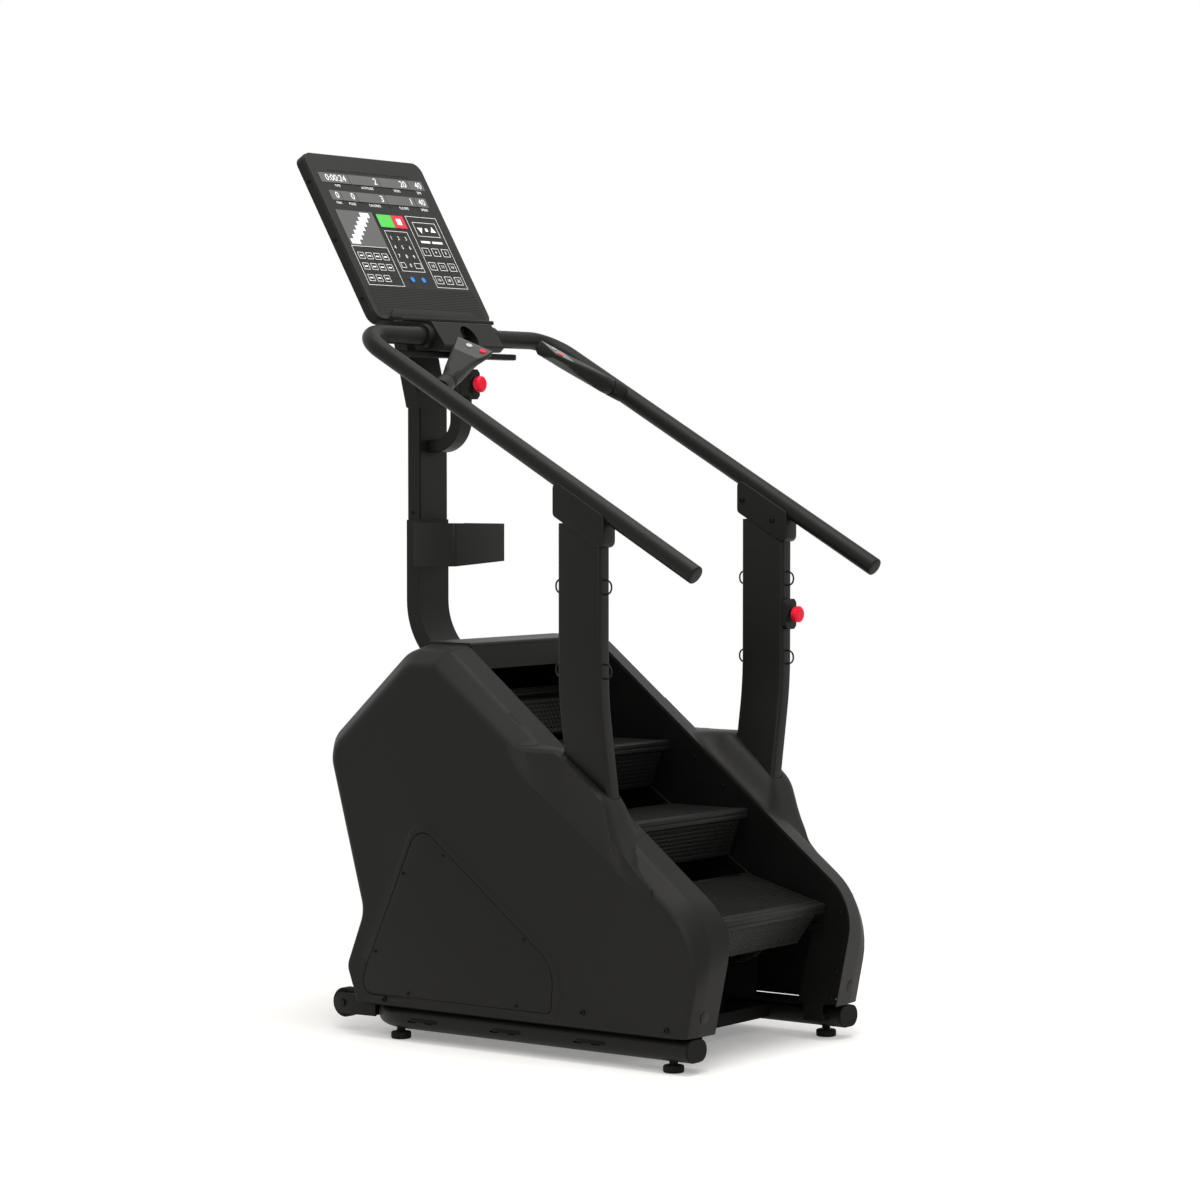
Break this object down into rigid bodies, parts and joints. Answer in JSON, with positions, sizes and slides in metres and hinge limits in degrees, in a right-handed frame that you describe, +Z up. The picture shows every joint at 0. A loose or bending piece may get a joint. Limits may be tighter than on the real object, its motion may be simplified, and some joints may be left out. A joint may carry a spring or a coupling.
{
  "type": "stair climber",
  "caption": "Motor-driven stair climber with a moving flight between moulded covers, sloping handrails on posts, a mast and a leaning console.",
  "frame": {"origin": "on the floor under the middle of the object's bounding box", "axes": "+X to the user's right, +Y forward from the entry to the console, +Z up"},
  "size_m": [0.754, 1.2597, 2.0352],
  "materials": {
    "frame_paint": "fine-textured black powder coat",
    "rubber": "matte black rubber",
    "machined_steel": "machined steel",
    "motor_alloy": "cast alloy",
    "step_plastic": "ribbed dark plastic",
    "cover_plastic": "fine-grained black plastic",
    "screen": "gloss overlay with printed keys",
    "red_plastic": "gloss red plastic",
    "key_plastic": "pale grey key"
  },
  "bodies": {
    "frame": {"base_frame": "frame_paint", "base_end_caps": "rubber", "cross_beams": "frame_paint", "levelling_feet": "rubber", "wheel_brackets": "frame_paint", "side_frame_left": "frame_paint", "side_frame_right": "frame_paint", "stub_axles": "machined_steel", "shaft_bearings": "machined_steel", "step_chains": "machined_steel", "drive_motor": "motor_alloy", "drive_belt": "rubber", "controller_box": "cover_plastic", "power_inlet": "cover_plastic", "side_cover_left": "cover_plastic", "side_cover_right": "cover_plastic", "access_panel_left": "cover_plastic", "access_panel_right": "cover_plastic", "top_cap": "cover_plastic", "front_cover": "cover_plastic", "post_left": "frame_paint", "post_right": "frame_paint", "post_collars": "cover_plastic", "handrail_left": "frame_paint", "handrail_right": "frame_paint", "rail_end_caps": "rubber", "control_pod_left": "cover_plastic", "control_pod_right": "cover_plastic", "console_housing": "cover_plastic", "console_face": "screen", "neck_block": "cover_plastic", "console_shelf": "cover_plastic", "mast_lower": "frame_paint", "mast_upper": "frame_paint", "accessory_holder": "frame_paint", "console_support": "frame_paint", "stop_boxes": "cover_plastic", "band_loops": "machined_steel", "fasteners": "machined_steel"},
    "wheel_left": {"wheel_left": "rubber"},
    "wheel_right": {"wheel_right": "rubber"},
    "flight": {"step_2": "step_plastic", "step_3": "step_plastic"},
    "low_step": {"step_1": "step_plastic"},
    "high_step": {"step_4": "step_plastic"},
    "return_steps": {"step_5": "step_plastic", "step_6": "step_plastic", "step_7": "step_plastic"},
    "drive_shaft": {"drive_shaft": "machined_steel", "drive_sprockets": "machined_steel", "drive_pulley": "machined_steel"},
    "upper_sprockets": {"upper_sprockets": "machined_steel"},
    "motor_rotor": {"motor_pulley": "machined_steel"},
    "fan": {"fan_wheel": "cover_plastic"},
    "key_left_1": {"pod_key_left_1": "red_plastic"},
    "key_left_2": {"pod_key_left_2": "key_plastic"},
    "key_right_1": {"pod_key_right_1": "red_plastic"},
    "key_right_2": {"pod_key_right_2": "key_plastic"},
    "stop_front": {"stop_head_front": "red_plastic"},
    "stop_rear": {"stop_head_rear": "red_plastic"}
  },
  "joints": [
    {"name": "flight_travel", "type": "slide", "parent": "frame", "child": "flight", "axis": [0, -0.8333, -0.5528], "range_m": [0, 0.088]},
    {"name": "low_step_tilt", "type": "hinge", "parent": "flight", "child": "low_step", "pos_m": [0, -0.35948, 0.36506], "axis": [1, 0, 0], "range_deg": [0, 20.3]},
    {"name": "high_step_tilt", "type": "hinge", "parent": "flight", "child": "high_step", "pos_m": [0, 0.07965, 0.72843], "axis": [1, 0, 0], "range_deg": [0, 15.7]},
    {"name": "return_travel", "type": "slide", "parent": "frame", "child": "return_steps", "axis": [0, 0.8333, 0.5528], "range_m": [0, 0.0885]},
    {"name": "drive_shaft_turn", "type": "hinge", "parent": "frame", "child": "drive_shaft", "pos_m": [0, -0.3224, 0.26965], "axis": [1, 0, 0], "range_deg": [0, 50.6]},
    {"name": "upper_sprocket_turn", "type": "hinge", "parent": "frame", "child": "upper_sprockets", "pos_m": [0, 0.18579, 0.60678], "axis": [1, 0, 0], "range_deg": [0, 50.6]},
    {"name": "motor_turn", "type": "hinge", "parent": "frame", "child": "motor_rotor", "pos_m": [0, 0.05951, 0.168], "axis": [1, 0, 0], "range_deg": [0, 136.2]},
    {"name": "wheel_left_roll", "type": "hinge", "parent": "frame", "child": "wheel_left", "pos_m": [-0.271, 0.42051, 0.063], "axis": [1, 0, 0], "continuous": true},
    {"name": "wheel_right_roll", "type": "hinge", "parent": "frame", "child": "wheel_right", "pos_m": [0.271, 0.42051, 0.063], "axis": [1, 0, 0], "continuous": true},
    {"name": "fan_spin", "type": "hinge", "parent": "frame", "child": "fan", "pos_m": [0, 0.28274, 1.60201], "axis": [0, 1, 0], "continuous": true},
    {"name": "key_left_1_press", "type": "slide", "parent": "frame", "child": "key_left_1", "axis": [0.2088, 0.4984, -0.8414], "range_m": [0, 0.0015], "stiffness_N_per_m": 900},
    {"name": "key_left_2_press", "type": "slide", "parent": "frame", "child": "key_left_2", "axis": [0.2088, 0.4984, -0.8414], "range_m": [0, 0.0015], "stiffness_N_per_m": 900},
    {"name": "key_right_1_press", "type": "slide", "parent": "frame", "child": "key_right_1", "axis": [-0.2088, 0.4984, -0.8414], "range_m": [0, 0.0015], "stiffness_N_per_m": 900},
    {"name": "key_right_2_press", "type": "slide", "parent": "frame", "child": "key_right_2", "axis": [-0.2088, 0.4984, -0.8414], "range_m": [0, 0.0015], "stiffness_N_per_m": 900},
    {"name": "stop_front_press", "type": "slide", "parent": "frame", "child": "stop_front", "axis": [0, 1, 0], "range_m": [0, 0.005]},
    {"name": "stop_rear_press", "type": "slide", "parent": "frame", "child": "stop_rear", "axis": [0, 1, 0], "range_m": [0, 0.005]}
  ],
  "couplings": [
    {"joint": "low_step_tilt", "follows": "flight_travel", "rad_per_m": 4},
    {"joint": "high_step_tilt", "follows": "flight_travel", "rad_per_m": 3.09},
    {"joint": "return_travel", "follows": "flight_travel", "ratio": 1},
    {"joint": "drive_shaft_turn", "follows": "flight_travel", "rad_per_m": 10},
    {"joint": "upper_sprocket_turn", "follows": "flight_travel", "rad_per_m": 10},
    {"joint": "motor_turn", "follows": "flight_travel", "rad_per_m": 26.923}
  ]
}
